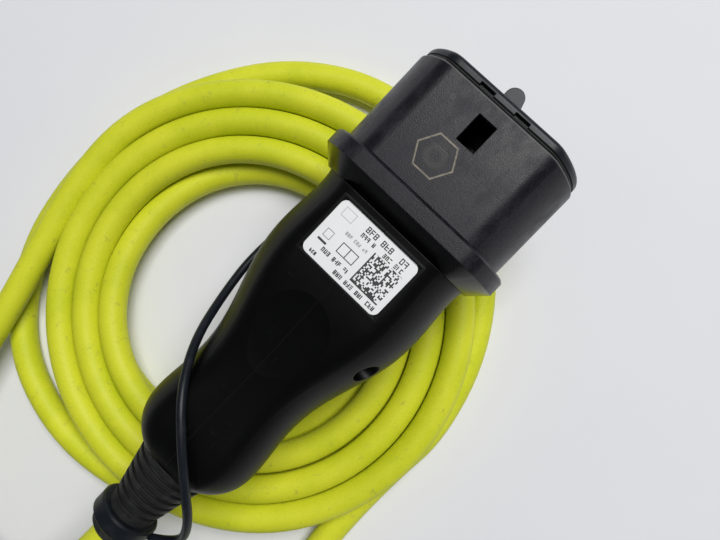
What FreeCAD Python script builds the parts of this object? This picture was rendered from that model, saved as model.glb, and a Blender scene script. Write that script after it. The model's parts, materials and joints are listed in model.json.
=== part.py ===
import FreeCAD, Part
import math
import os
import Sketcher

# Plug of a three phase charging cable, lying on its own loose coil, with the vehicle end on the floor.
# The plug's axis is X and its tip points to +X. Z is up and the nose has its flat on top.
# The origin is on the axis of the earth pin, a little behind the nose's front rim.

V = FreeCAD.Vector

doc = FreeCAD.newDocument("charging_plug")

# Driving dimensions, in millimetres and degrees
SIZES = [
    ("nose_radius", 31.5, "outside of the nose"),
    ("nose_flat", 24.5, "height of the nose's top flat above the axis"),
    ("nose_corner", 7.0, "rounding beside the top flat"),
    ("nose_wall", 3.0, "wall of the nose"),
    ("nose_reach", 30.5, "collar to the origin"),
    ("rim_ahead", 2.4, "origin to the nose's front rim"),
    ("nose_floor", 3.0, "web at the back of the nose"),
    ("nose_edge", 0.8, "chamfer round the front rim"),
    ("skirt_step", 6.6, "how far the nose's tail lies inside its outside"),
    ("skirt_drop", 5.2, "the same under the flat"),
    ("skirt_round", 1.0, "how much smaller the tail's rounding is"),
    ("skirt_wall", 2.4, "wall of that tail"),
    ("skirt_reach", 19.0, "length of that tail"),
    ("window_across", 6.5, "lock window across the plug"),
    ("window_along", 9.4, "lock window along the plug"),
    ("window_setback", 2.8, "origin to lock window"),
    ("collar_step", 3.5, "how far the collar stands out past the nose"),
    ("collar_rise", 1.5, "the same on top of the flat"),
    ("collar_round", 2.0, "how much larger the collar's rounding is than the nose's"),
    ("collar_length", 11.0, "collar along the axis"),
    ("collar_bevel", 5.4, "bevel on the back of the collar"),
    ("collar_edge", 0.7, "chamfer on the front of the collar"),
    ("carrier_lip", 3.0, "front disc of the contact carrier"),
    ("carrier_depth", 15.0, "carrier behind that disc"),
    ("retainer_thick", 2.4, "plate behind the contact carrier"),
    ("fit_gap", 0.2, "clearance of pieces that slot together"),
    ("pin_radius", 3.0, "power and earth pins"),
    ("pin_step", 0.3, "how much thicker a pin is inside the carrier"),
    ("pin_flange", 1.3, "how far a power pin's shoulder stands out"),
    ("pin_setback", 6.0, "rim to the power pins' tips"),
    ("earth_setback", 4.5, "rim to the earth pin's tip"),
    ("pin_tail", 12.0, "crimp barrel behind the retainer"),
    ("pin_inset", 14.0, "outside of the nose to the middle of the power pins"),
    ("signal_radius", 1.5, "signal pins"),
    ("signal_flange", 0.9, "how far a signal pin's shoulder stands out"),
    ("signal_setback", 9.5, "rim to the signal pins' tips"),
    ("signal_inset", 17.0, "outside of the nose to the middle of the signal pins"),
    ("barrel_wall", 0.8, "wall of a crimp barrel"),
    ("barrel_depth", 8.0, "hole in a crimp barrel"),
    ("shell_wall", 2.6, "wall of the handle"),
    ("shell_corner", 8.0, "rounding beside the handle's flat top"),
    ("root_step", 3.2, "how far the handle lies inside the nose's outside at the collar"),
    ("root_flat", 22.6, "handle's flat at the collar"),
    ("shoulder_step", 3.6, "the same at the shoulder"),
    ("shoulder_flat", 22.2, "flat at the shoulder"),
    ("shoulder_place", 74.0, "origin to the shoulder"),
    ("waist_radius", 21.4, "handle at the waist"),
    ("waist_flat", 18.0, "flat at the waist"),
    ("waist_place", 98.0, "origin to the waist"),
    ("grip_radius", 20.6, "handle at the grip"),
    ("grip_flat", 17.4, "flat at the grip"),
    ("grip_place", 120.0, "origin to the grip"),
    ("heel_radius", 14.6, "handle at its back end"),
    ("heel_flat", 12.8, "flat at the back end"),
    ("heel_place", 144.0, "origin to the handle's back end"),
    ("heel_wall", 9.0, "solid end of the handle"),
    ("thumb_across", 22.0, "thumb hollow across"),
    ("thumb_along", 30.0, "thumb hollow along"),
    ("thumb_depth", 1.1, "depth of the thumb hollow"),
    ("thumb_bulge", 5.0, "half height of the round form that presses it in"),
    ("thumb_place", 85.0, "origin to the middle of the thumb hollow"),
    ("label_across", 29.4, "label across the plug"),
    ("label_along", 19.2, "label along the plug"),
    ("label_thick", 0.4, "label"),
    ("label_corner", 2.2, "rounding of the label"),
    ("label_gap", 12.7, "collar to the middle of the label"),
    ("label_rim", 0.9, "raised rim round the label"),
    ("label_rim_height", 0.5, "height of that rim"),
    ("screw_hole", 1.6, "screw shank"),
    ("screw_head", 3.0, "screw head"),
    ("screw_head_thick", 2.2, "height of a screw head"),
    ("screw_recess", 4.0, "recess that a screw head sits in"),
    ("boss_radius", 5.4, "screw boss in the handle"),
    ("screw_grip", 9.0, "screw in the far half"),
    ("latch_along", 12.5, "latch slot in the right flank"),
    ("latch_across", 2.6, "height of that slot"),
    ("latch_place", 56.0, "origin to the middle of that slot"),
    ("cable_radius", 5.5, "cable"),
    ("relief_reach", 34.0, "bend relief behind the handle"),
    ("relief_radius", 13.4, "bend relief at the handle"),
    ("relief_tip", 8.4, "bend relief at its thin end"),
    ("relief_plain", 12.0, "straight end of the bend relief, behind its taper"),
    ("relief_neck", 10.0, "bend relief inside the handle's end"),
    ("relief_flange", 1.2, "how far its inner flange stands out"),
    ("relief_flange_thick", 2.4, "inner flange of the bend relief"),
    ("relief_rings", 6, "grooves in the bend relief"),
    ("relief_groove", 1.5, "width of a groove"),
    ("relief_groove_depth", 1.1, "depth of a groove"),
    ("jacket_reach", 18.0, "cable jacket inside the handle"),
    ("clamp_length", 9.0, "cable clamp along the cable"),
    ("clamp_height", 1.6, "height of a clamp half beyond the cable"),
    ("clamp_half_width", 10.4, "half of the clamp's width"),
    ("core_radius", 1.6, "insulated power core"),
    ("signal_core", 0.6, "insulated signal core"),
    ("core_circle", 3.6, "radius that the cores lie on in the jacket"),
    ("resistor_radius", 1.3, "coding resistor"),
    ("resistor_length", 5.0, "coding resistor"),
    ("lead_radius", 0.35, "lead of the coding resistor"),
    ("cap_thick", 3.2, "end cap"),
    ("cap_inset", 0.8, "how far the cap's edge lies inside the nose's"),
    ("cap_plug", 2.4, "cap inside the nose"),
    ("cap_gap", 0.3, "clearance of the cap in the nose"),
    ("cap_seat_gap", 0.35, "gap between cap and rim"),
    ("cap_edge", 1.6, "rounding of the cap"),
    ("cap_notch", 5.2, "width of a notch behind the cap's edge"),
    ("cap_notch_along", 1.5, "notch along the axis"),
    ("cap_notch_depth", 1.8, "depth of a notch"),
    ("cap_key", 7.6, "width of the key between the notches"),
    ("tab_reach", 5.5, "pull tab in front of the cap"),
    ("tab_across", 6.0, "pull tab across"),
    ("tab_thick", 7.0, "height of the pull tab"),
    ("tab_height", 14.0, "axis to the middle of the pull tab"),
    ("tab_hole", 1.1, "hole across the pull tab"),
    ("tether_radius", 1.5, "tether of the cap"),
    ("ring_thick", 2.4, "tether ring"),
    ("ring_length", 6.0, "tether ring along the cable"),
    ("ring_setback", 7.0, "thin end of the bend relief to the tether ring"),
    ("coil_outside", 97.0, "outer radius of the loose coil"),
    ("coil_inside", 46.0, "inner radius of the loose coil"),
    ("coil_layers", 2, "layers of cable in the coil"),
    ("coil_x", -103.0, "middle of the coil"),
    ("coil_y", 30.5, "middle of the coil"),
    ("rest_gap", 0.3, "gap between the collar and the coil below it"),
    ("far_nose_radius", 27.6, "nose of the vehicle end"),
    ("far_nose_flat", 21.0, "its flat"),
    ("far_nose_corner", 6.0, "its rounding"),
    ("far_nose_reach", 33.0, "its length"),
    ("far_nose_wall", 2.2, "its wall"),
    ("far_collar_radius", 31.0, "collar of the vehicle end"),
    ("far_collar_flat", 24.0, "its flat"),
    ("far_collar_length", 7.0, "its length"),
    ("far_root_radius", 27.0, "vehicle end's handle at the collar"),
    ("far_grip_radius", 20.0, "vehicle end's grip"),
    ("far_heel_radius", 14.6, "vehicle end's handle at its back end"),
    ("far_heel_flat", 12.9, "its flat there"),
    ("far_shoulder_place", 38.0, "collar to the shoulder of that handle"),
    ("far_grip_place", 66.0, "collar to the grip"),
    ("far_heel_place", 108.0, "collar to the back end"),
    ("far_flat_drop", 3.4, "flat of that handle below its round side"),
    ("far_socket_radius", 3.05, "bore of a socket contact"),
    ("far_socket_wall", 0.9, "wall of a socket contact"),
    ("far_signal_socket", 1.55, "bore of a signal socket contact"),
    ("far_post_gap", 0.2, "clearance of a contact in its hole"),
    ("far_relief_reach", 30.0, "bend relief of the vehicle end"),
    ("far_relief_plain", 8.0, "its straight end"),
    ("far_relief_radius", 12.6, "that relief at the handle"),
    ("far_insert_setback", 3.0, "origin to the face of the vehicle end's insert"),
    ("far_x", -271.0, "cable end of the vehicle end's bend relief"),
    ("far_y", -81.0, "cable end of the vehicle end's bend relief"),
    ("far_turn", 184.0, "direction in which the vehicle end points"),
]

sheet = doc.addObject("Spreadsheet::Sheet", "Sizes")
for row, (name, value, note) in enumerate(SIZES, start=1):
    sheet.set(f"A{row}", note)
    sheet.set(f"B{row}", str(value))
    sheet.setAlias(f"B{row}", name)
doc.recompute()


def size(name):
    """The value of one driving dimension."""
    return float(sheet.get(name))


def bound(text):
    """An expression on driving dimensions, with the sheet's name put before each of them."""
    words = []
    word = ""
    for letter in text + " ":
        if letter.isalnum() or letter == "_":
            word += letter
            continue
        if word in NAMES:
            word = "Sizes." + word
        words.append(word + letter)
        word = ""
    return "".join(words).strip()


def worth(text):
    """The number that an expression on driving dimensions gives."""
    values = {name: size(name) for name in NAMES}
    total = 0.0
    sign = 1.0
    for piece in text.replace("+", " + ").replace("-", " - ").split():
        if piece == "+":
            sign = 1.0
            continue
        if piece == "-":
            sign = -1.0
            continue
        product = 1.0
        divide = False
        for factor in piece.replace("*", " * ").replace("/", " / ").split():
            if factor in "*/":
                divide = factor == "/"
                continue
            number = values[factor] if factor in values else float(factor)
            product = product / number if divide else product * number
        total += sign * product
        sign = 1.0
    return total


NAMES = {name for name, _, _ in SIZES}

CENTRE = (-1, 1)
AXIS = {"across": -1, "up": -2}


def new_body(label):
    """An empty body whose label names the piece."""
    body = doc.addObject("PartDesign::Body", label)
    body.Label = label
    return body


def new_sketch(body, name, role="YZ_Plane", offset=None):
    """A sketch on one of the body's own planes, moved along that plane's normal."""
    sketch = body.newObject("Sketcher::SketchObject", f"{body.Name}_{name}")
    plane = next(item for item in body.Origin.OriginFeatures if item.Role == role)
    sketch.AttachmentSupport = [(plane, "")]
    sketch.MapMode = "FlatFace"
    if offset:
        sketch.setExpression("AttachmentOffset.Base.z", bound(offset))
    return sketch


def bind(sketch, kind, where, text):
    """A dimension of the sketch that follows an expression."""
    index = sketch.addConstraint(Sketcher.Constraint(kind, *where, worth(text)))
    sketch.setExpression(f"Constraints[{index}]", bound(text))


def draw_round(sketch, radius, across="0", up="0"):
    """A circle at a place given by two expressions."""
    y, z = worth(across), worth(up)
    circle = sketch.addGeometry(Part.Circle(V(y, z, 0), V(0, 0, 1), worth(radius)))
    bind(sketch, "Radius", (circle,), radius)
    if y == 0 and z == 0:
        sketch.addConstraint(Sketcher.Constraint("Coincident", circle, 3, *CENTRE))
        return
    if y == 0:
        sketch.addConstraint(Sketcher.Constraint("PointOnObject", circle, 3, AXIS["up"]))
    else:
        bind(sketch, "DistanceX", (*CENTRE, circle, 3), across)
    if z == 0:
        sketch.addConstraint(Sketcher.Constraint("PointOnObject", circle, 3, AXIS["across"]))
    else:
        bind(sketch, "DistanceY", (*CENTRE, circle, 3), up)


def draw_flat_round(sketch, radius, flat, corner):
    """A circle about the axis with a flat on top and rounded corners: the outline of the whole plug."""
    r, top, c = worth(radius), worth(flat), worth(corner)
    y = math.sqrt((r - c) ** 2 - (top - c) ** 2)
    lean = math.atan2(top - c, y)
    up = V(0, 0, 1)
    big = Part.ArcOfCircle(Part.Circle(V(0, 0, 0), up, r), math.pi - lean, 2 * math.pi + lean)
    right = Part.ArcOfCircle(Part.Circle(V(y, top - c, 0), up, c), lean, math.pi / 2)
    line = Part.LineSegment(V(y, top, 0), V(-y, top, 0))
    left = Part.ArcOfCircle(Part.Circle(V(-y, top - c, 0), up, c), math.pi / 2, math.pi - lean)
    b, q, t, p = sketch.addGeometry([big, right, line, left])
    for pair in ((b, 2, q, 1), (q, 2, t, 1), (t, 2, p, 1), (p, 2, b, 1)):
        sketch.addConstraint(Sketcher.Constraint("Tangent", *pair))
    sketch.addConstraint(Sketcher.Constraint("Coincident", b, 3, *CENTRE))
    sketch.addConstraint(Sketcher.Constraint("Symmetric", t, 1, t, 2, AXIS["up"]))
    bind(sketch, "Radius", (b,), radius)
    bind(sketch, "Radius", (q,), corner)
    bind(sketch, "DistanceY", (*CENTRE, t, 1), flat)


def draw_box(sketch, low_across, high_across, low_up, high_up):
    """A rectangle between four expressions; a side on an axis is the text 0."""
    a, b, c, d = (worth(text) for text in (low_across, high_across, low_up, high_up))
    corners = [V(a, c, 0), V(b, c, 0), V(b, d, 0), V(a, d, 0)]
    lines = [Part.LineSegment(corners[k], corners[(k + 1) % 4]) for k in range(4)]
    first = sketch.addGeometry(lines)[0]
    for k in range(4):
        pair = (first + k, 2, first + (k + 1) % 4, 1)
        sketch.addConstraint(Sketcher.Constraint("Coincident", *pair))
        way = "Vertical" if k % 2 else "Horizontal"
        sketch.addConstraint(Sketcher.Constraint(way, first + k))
    for kind, line, text in (
        ("DistanceX", first + 3, low_across),
        ("DistanceX", first + 1, high_across),
        ("DistanceY", first, low_up),
        ("DistanceY", first + 2, high_up),
    ):
        if worth(text) == 0:
            axis = AXIS["up" if kind == "DistanceX" else "across"]
            sketch.addConstraint(Sketcher.Constraint("PointOnObject", line, 1, axis))
        else:
            bind(sketch, kind, (*CENTRE, line, 1), text)


def pad(body, sketch, length, both_ways=False):
    """The sketch raised along its plane's normal."""
    feature = body.newObject("PartDesign::Pad", f"{sketch.Name}_pad")
    feature.Profile = sketch
    feature.Length = worth(length)
    feature.setExpression("Length", bound(length))
    feature.Midplane = both_ways
    sketch.Visibility = False
    doc.recompute()
    return feature


def cut(body, sketch, depth, forward=True, both_ways=False):
    """The sketch cut away along its plane's normal, or against it; it has to take something off."""
    before = body.Shape.Volume
    feature = body.newObject("PartDesign::Pocket", f"{sketch.Name}_cut")
    feature.Profile = sketch
    feature.Length = worth(depth)
    feature.setExpression("Length", bound(depth))
    feature.Reversed = forward
    feature.Midplane = both_ways
    doc.recompute()
    if body.Shape.Volume > before - 0.01:
        raise ValueError(f"{feature.Name} takes nothing away")
    return feature


def turn(body, sketch, axis="H_Axis", groove=False):
    """The sketch turned a full circle about one of its own axes."""
    kind = "PartDesign::Groove" if groove else "PartDesign::Revolution"
    feature = body.newObject(kind, f"{sketch.Name}_turn")
    feature.Profile = sketch
    feature.ReferenceAxis = (sketch, [axis])
    feature.Angle = 360
    doc.recompute()
    return feature


def dress(body, kind, edges, amount):
    """A fillet or a chamfer on some edges of the body as it is."""
    base = body.Tip
    feature = body.newObject(f"PartDesign::{kind}", f"{body.Name}_{kind}_{len(body.Group)}")
    feature.Base = (base, edges)
    key = "Radius" if kind == "Fillet" else "Size"
    setattr(feature, key, worth(amount))
    feature.setExpression(key, bound(amount))
    doc.recompute()
    return feature


def edges_at(body, x, outline):
    """Names of the body's edges that lie in the plane at x, on an outline (radius, flat, corner)."""
    r, top, c = (worth(text) for text in outline)
    side = math.sqrt((r - c) ** 2 - (top - c) ** 2)

    def on_outline(p):
        far = math.hypot(p.y, p.z)
        corner = math.hypot(abs(p.y) - side, p.z - top + c)
        return min(abs(far - r), abs(p.z - top), abs(corner - c)) < 1e-3

    names = []
    for number, edge in enumerate(body.Shape.Edges, start=1):
        box = edge.BoundBox
        flat = abs(box.XMin - x) < 1e-4 and abs(box.XMax - x) < 1e-4
        if flat and all(on_outline(p) for p in edge.discretize(7)):
            names.append(f"Edge{number}")
    return names


def ring_pad(body, name, start, length, outer, inner=None):
    """A flat sided tube or disc from the plane at start, with the outlines (radius, flat, corner)."""
    sketch = new_sketch(body, name, offset=start)
    draw_flat_round(sketch, *outer)
    if inner:
        draw_flat_round(sketch, *inner)
    return pad(body, sketch, length)


def loft(body, name, sections, hollow=False):
    """A smooth body, or a hollow in it, through outlines at places along the axis."""
    sketches = []
    for number, (place, radius, flat, corner) in enumerate(sections):
        sketch = new_sketch(body, f"{name}_{number}", offset=place)
        draw_flat_round(sketch, radius, flat, corner)
        sketches.append(sketch)
    doc.recompute()
    kind = "PartDesign::SubtractiveLoft" if hollow else "PartDesign::AdditiveLoft"
    feature = body.newObject(kind, f"{body.Name}_{name}_loft")
    feature.Profile = sketches[0]
    feature.Sections = sketches[1:]
    doc.recompute()
    return feature


def lay(body, at=V(0, 0, 0), turned=0.0):
    """Puts a finished piece in its place."""
    body.Placement = FreeCAD.Placement(at, FreeCAD.Rotation(V(0, 0, 1), turned))


def less(outline, amount):
    """An outline that lies inside another by an amount all round."""
    return tuple(f"{text}-{amount}" for text in outline)


# Places of the contacts: name, and angle about the axis from +Y
POWER_PINS = [
    ("pin_l1", 0.0),
    ("pin_n", 180.0),
    ("pin_l2", 240.0),
    ("pin_l3", 300.0),
]
SIGNAL_PINS = [
    ("pin_cp", 60.0),
    ("pin_pp", 120.0),
]


def contact_places():
    """Each contact's name, place across and up, radius, shoulder and tip setback."""
    places = [("pin_pe", 0.0, 0.0, "pin_radius", "pin_flange", "earth_setback")]
    for name, angle in POWER_PINS:
        r = worth("nose_radius-pin_inset")
        y, z = r * math.cos(math.radians(angle)), r * math.sin(math.radians(angle))
        places.append((name, y, z, "pin_radius", "pin_flange", "pin_setback"))
    for name, angle in SIGNAL_PINS:
        r = worth("nose_radius-signal_inset")
        y, z = r * math.cos(math.radians(angle)), r * math.sin(math.radians(angle))
        places.append((name, y, z, "signal_radius", "signal_flange", "signal_setback"))
    return places


NOSE = ("nose_radius", "nose_flat", "nose_corner")
SKIRT = ("nose_radius-skirt_step", "nose_flat-skirt_drop", "nose_corner-skirt_round")
COLLAR = ("nose_radius+collar_step", "nose_flat+collar_rise", "nose_corner+collar_round")


def make_nose_shell():
    """The nose: a flat topped tube with a web at its back, a tail inside the handle and the lock window."""
    body = new_body("nose_shell")
    ring_pad(body, "tube", "-nose_reach", "nose_reach+rim_ahead", NOSE, less(NOSE, "nose_wall"))
    ring_pad(body, "web", "-nose_reach", "nose_floor", less(NOSE, "nose_wall/2"), less(SKIRT, "skirt_wall"))
    inner = less(SKIRT, "skirt_wall")
    ring_pad(body, "tail", "-nose_reach-skirt_reach", "skirt_reach+nose_floor/2", SKIRT, inner)
    dress(body, "Chamfer", edges_at(body, size("rim_ahead"), NOSE), "nose_edge")
    window = new_sketch(body, "window", "XY_Plane", "nose_flat+nose_wall")
    draw_box(
        window,
        "-window_setback-window_along",
        "-window_setback",
        "-window_across/2",
        "window_across/2",
    )
    cut(body, window, "nose_wall*3", forward=False)
    return body


def make_collar():
    """The stop collar between nose and handle, bevelled at the back."""
    body = new_body("collar")
    inner = tuple(f"{text}+fit_gap" for text in SKIRT)
    back = "-nose_reach-collar_length"
    ring_pad(body, "ring", back + "+collar_bevel", "collar_length-collar_bevel-fit_gap", COLLAR)
    loft(body, "bevel", [(back + "+collar_bevel", *COLLAR), (back, *less(COLLAR, "collar_bevel"))])
    bore = new_sketch(body, "bore", offset=back)
    draw_flat_round(bore, *inner)
    cut(body, bore, "collar_length*2")
    front = -size("nose_reach") - size("fit_gap")
    dress(body, "Chamfer", edges_at(body, front, COLLAR), "collar_edge")
    return body


def make_contact_carrier():
    """The insulating block that the contacts stand in, seated against the web of the nose."""
    body = new_body("contact_carrier")
    rim = less(NOSE, "nose_wall-fit_gap")
    inner = less(SKIRT, "skirt_wall-fit_gap")
    face = "-nose_reach+nose_floor"
    ring_pad(body, "disc", face, "carrier_lip", rim)
    ring_pad(body, "block", face + "-carrier_depth", "carrier_depth", inner)
    holes = new_sketch(body, "holes", offset=face + "-carrier_depth")
    shoulders = new_sketch(body, "shoulders", offset=face + "-carrier_depth")
    for name, y, z, radius, flange, setback in contact_places():
        draw_round_at(holes, radius + "+pin_step+fit_gap", y, z)
        draw_round_at(shoulders, radius + "+" + flange + "+fit_gap", y, z)
    cut(body, holes, "carrier_depth+carrier_lip*2")
    cut(body, shoulders, "carrier_depth/2")
    return body


def draw_round_at(sketch, radius, y, z):
    """A circle whose place is worked out from the contacts' circle."""
    circle = sketch.addGeometry(Part.Circle(V(y, z, 0), V(0, 0, 1), worth(radius)))
    bind(sketch, "Radius", (circle,), radius)
    sketch.addConstraint(Sketcher.Constraint("Block", circle))


def make_pins():
    """Turned contacts with a domed tip, a shoulder in the carrier and a crimp barrel behind."""
    for name, y, z, radius, flange, setback in contact_places():
        body = new_body(name)
        r = size(radius)
        shoulder = r + size(flange)
        tip = size("rim_ahead") - size(setback)
        thick = r + size("pin_step")
        face = -size("nose_reach") + size("nose_floor")
        front = face + size("carrier_lip")
        back = face - size("carrier_depth")
        mid = face - size("carrier_depth") / 2 - size("fit_gap")
        end = back - size("retainer_thick") - size("pin_tail")
        hole = r - size("barrel_wall")
        deep = end + size("barrel_depth")
        nose = tip - r * 0.5
        outline = [
            (deep, 0.0), (deep, hole), (end, hole), (end, r), (back, r), (back, shoulder),
            (mid, shoulder), (mid, thick), (front, thick), (front, r), (nose, r),
        ]
        sketch = new_sketch(body, "outline", "XZ_Plane")
        points = [V(a, b, 0) for a, b in outline]
        lines = [Part.LineSegment(p, q) for p, q in zip(points, points[1:])]
        bend = r * 0.5 * (1 - math.sqrt(0.5))
        lines.append(Part.Arc(points[-1], V(tip - bend, r - bend, 0), V(tip, r * 0.5, 0)))
        lines.append(Part.LineSegment(V(tip, r * 0.5, 0), V(tip, 0, 0)))
        lines.append(Part.LineSegment(V(tip, 0, 0), points[0]))
        sketch.addGeometry(lines)
        turn(body, sketch)
        body.Placement = FreeCAD.Placement(V(0, y, z), FreeCAD.Rotation())


def contact_plate(label, start, thick):
    """A plate with the tail's outline and a hole for every contact."""
    body = new_body(label)
    ring_pad(body, "plate", start, thick, less(SKIRT, "skirt_wall-fit_gap"))
    holes = new_sketch(body, "holes", offset=start)
    for name, y, z, radius, flange, setback in contact_places():
        draw_round_at(holes, radius + "+fit_gap", y, z)
    cut(body, holes, "retainer_thick*2")
    return body


def make_retainer():
    """The plate that keeps the contacts' shoulders in the carrier."""
    start = "-nose_reach+nose_floor-carrier_depth-retainer_thick"
    contact_plate("contact_retainer", start, "retainer_thick")


# Pieces that are blocks and rods, joined and cut


def rod(name, radius, length, at, way):
    """A cylinder that starts at a point and runs along a direction."""
    item = doc.addObject("Part::Cylinder", name)
    item.setExpression("Radius", bound(radius))
    item.Height = length
    item.Placement = FreeCAD.Placement(at, FreeCAD.Rotation(V(0, 0, 1), way))
    return item


def block(name, low, high):
    """A box between two corners."""
    item = doc.addObject("Part::Box", name)
    item.Length, item.Width, item.Height = high - low
    item.Placement.Base = low
    return item


def joined(name, pieces):
    """Several solids in one."""
    item = doc.addObject("Part::MultiFuse", name)
    item.Shapes = pieces
    return item


def apart(name, base, tool):
    """One solid less another."""
    item = doc.addObject("Part::Cut", name)
    item.Base = base
    item.Tool = tool
    return item


def shared(name, first, second):
    """What two solids have in common."""
    item = doc.addObject("Part::Common", name)
    item.Base = first
    item.Tool = second
    return item


def keep(item, label):
    """Marks a Part object as one of the pieces."""
    item.Label = label
    PIECES.append(label)
    return item


def turned_piece(label, outline, at=V(0, 0, 0), turned=0.0):
    """A piece turned about X from points (along, out)."""
    body = new_body(label)
    sketch = new_sketch(body, "outline", "XZ_Plane")
    points = [V(a, b, 0) for a, b in outline]
    lines = [Part.LineSegment(points[k - 1], points[k]) for k in range(len(points))]
    sketch.addGeometry(lines)
    turn(body, sketch)
    lay(body, at, turned)
    return body


HOUSING_SCREWS = [(-78.6, 11.0), (-84.0, -15.0), (-110.0, -12.0)]
HEAD_SEATS = [-17.5, -15.0, -12.0]


LABEL_PLACE = "-nose_reach-collar_length-label_gap"


def handle_sections(trim):
    """The handle's outlines along the axis, made smaller by an amount; the last one is its back end."""
    stations = [
        ("-nose_reach-collar_length", "root"),
        (LABEL_PLACE, "root"),
        ("-shoulder_place", "shoulder"),
        ("-waist_place", "waist"),
        ("-grip_place", "grip"),
    ]
    return [(place, *outline_of(name, trim)) for place, name in stations]


def outline_of(name, trim):
    """The outline (radius, flat, corner) of the handle at a named place."""
    radius = f"nose_radius-{name}_step" if name in ("root", "shoulder") else f"{name}_radius"
    return tuple(f"{text}{trim}" for text in (radius, f"{name}_flat", "shell_corner"))


def make_handle():
    """Two half shells that meet on the middle plane, with screw bosses, label seat and thumb hollow."""
    form = new_body("handle_form")
    loft(form, "outside", handle_sections("") + [("-heel_place", *outline_of("heel", ""))])
    hollow = new_body("handle_hollow")
    end = ("-heel_place+heel_wall", *outline_of("heel", "-shell_wall/2"))
    loft(hollow, "inside", handle_sections("-shell_wall") + [end])
    wall = apart("handle_wall", form, hollow)
    out = worth("nose_radius-root_step") + 5.0
    sideways = V(0, 1, 0)
    bosses = [
        rod(f"boss_{k}", "boss_radius", 2 * out, V(x, -out, z), sideways)
        for k, (x, z) in enumerate(HOUSING_SCREWS)
    ]
    filled = shared("bosses_inside", form, joined("bosses", bosses))
    seat_low = size("root_flat") - size("label_rim_height")
    rim = size("label_rim")
    x, a, b = worth(LABEL_PLACE), size("label_along") / 2, size("label_across") / 2
    top = size("root_flat") + size("label_rim_height")
    frame = block("label_frame", V(x - a - rim, -b - rim, seat_low - 1), V(x + a + rim, b + rim, top))
    whole = joined("handle_whole", [wall, filled, frame])
    g = size("fit_gap") / 2
    cuts = [block("label_seat", V(x - a - g, -b - g, seat_low), V(x + a + g, b + g, top + 5))]
    thumb = doc.addObject("Part::Ellipsoid", "thumb_hollow")
    bulge = size("thumb_bulge")
    lift = bulge - size("thumb_depth")
    share = math.sqrt(1 - (lift / bulge) ** 2)
    thumb.Radius1 = bulge
    thumb.Radius2 = size("thumb_along") / 2 / share
    thumb.Radius3 = size("thumb_across") / 2 / share
    slope = (size("shoulder_flat") - size("waist_flat")) / (size("waist_place") - size("shoulder_place"))
    surface = size("shoulder_flat") - slope * (size("thumb_place") - size("shoulder_place"))
    lean = FreeCAD.Rotation(V(0, 1, 0), -math.degrees(math.atan(slope)))
    middle = V(-size("thumb_place"), 0, surface) + lean.multVec(V(0, 0, lift))
    thumb.Placement = FreeCAD.Placement(middle, lean)
    cuts.append(thumb)
    heel = -size("heel_place")
    along = V(1, 0, 0)
    cuts.append(rod("heel_bore", "relief_neck+fit_gap", size("heel_wall") + 4, V(heel - 1, 0, 0), along))
    for k, ((x, z), seat) in enumerate(zip(HOUSING_SCREWS, HEAD_SEATS)):
        cuts.append(rod(f"recess_{k}", "screw_recess", seat + out, V(x, -out, z), sideways))
        reach = size("screw_grip") + size("fit_gap") - seat
        cuts.append(rod(f"screw_hole_{k}", "screw_hole+fit_gap/4", reach, V(x, seat, z), sideways))
    x, a = -size("latch_place"), size("latch_along") / 2
    c, wall_out = size("latch_across") / 2, worth("nose_radius-root_step")
    cuts.append(block("latch_slot", V(x - a, -wall_out - 2, -c), V(x + a, -wall_out + 1.7, c)))
    x = -size("nose_reach") - size("collar_length") - 4.5
    low, high = V(x - 1.5, -wall_out - 2, -c - 0.6), V(x + 1.5, -wall_out + 1.2, c + 0.6)
    cuts.append(block("pry_notch", low, high))
    finished = apart("handle_finished", whole, joined("handle_cuts", cuts))
    far = 200.0
    for label, low, high in (("left_shell", 0.0, out + 5), ("right_shell", -out - 5, 0.0)):
        side = block(f"{label}_side", V(-far, low, -out - 5), V(0, high, out + 5))
        keep(shared(label, finished, side), label)


def make_label():
    """The rating plate on the handle's flat, with rounded corners."""
    body = new_body("label_plate")
    seat = "root_flat-label_rim_height"
    sketch = new_sketch(body, "plate", "XY_Plane", seat)
    draw_box(
        sketch,
        LABEL_PLACE + "-label_along/2",
        LABEL_PLACE + "+label_along/2",
        "-label_across/2",
        "label_across/2",
    )
    pad(body, sketch, "label_thick")
    upright = [
        f"Edge{number}"
        for number, edge in enumerate(body.Shape.Edges, start=1)
        if edge.BoundBox.ZLength > size("label_thick") / 2
    ]
    dress(body, "Fillet", upright, "label_corner")


def screw(name, length, at, way, head="screw_head"):
    """A pan head screw whose head seats at a point and whose shank runs along a direction."""
    thick = size("screw_head_thick")
    back = V(way).normalize() * thick
    cap = rod(f"{name}_head", head, thick, at - back, way)
    shank = rod(f"{name}_shank", "screw_hole", length, at, way)
    whole = joined(name, [cap, shank])
    socket = rod(f"{name}_socket", head + "/2.4", thick * 0.55, at - back, way)
    return apart(f"{name}_solid", whole, socket)


def screw_group(label, screws):
    """Like screws in one node."""
    group = doc.addObject("Part::Compound", label)
    group.Links = screws
    keep(group, label)


def make_screws():
    """The screws that hold the two halves together."""
    screws = []
    for k, ((x, z), seat) in enumerate(zip(HOUSING_SCREWS, HEAD_SEATS)):
        screws.append(screw(f"housing_screw_{k}", size("screw_grip") - seat, V(x, seat, z), V(0, 1, 0)))
    screw_group("housing_screws", screws)


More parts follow.
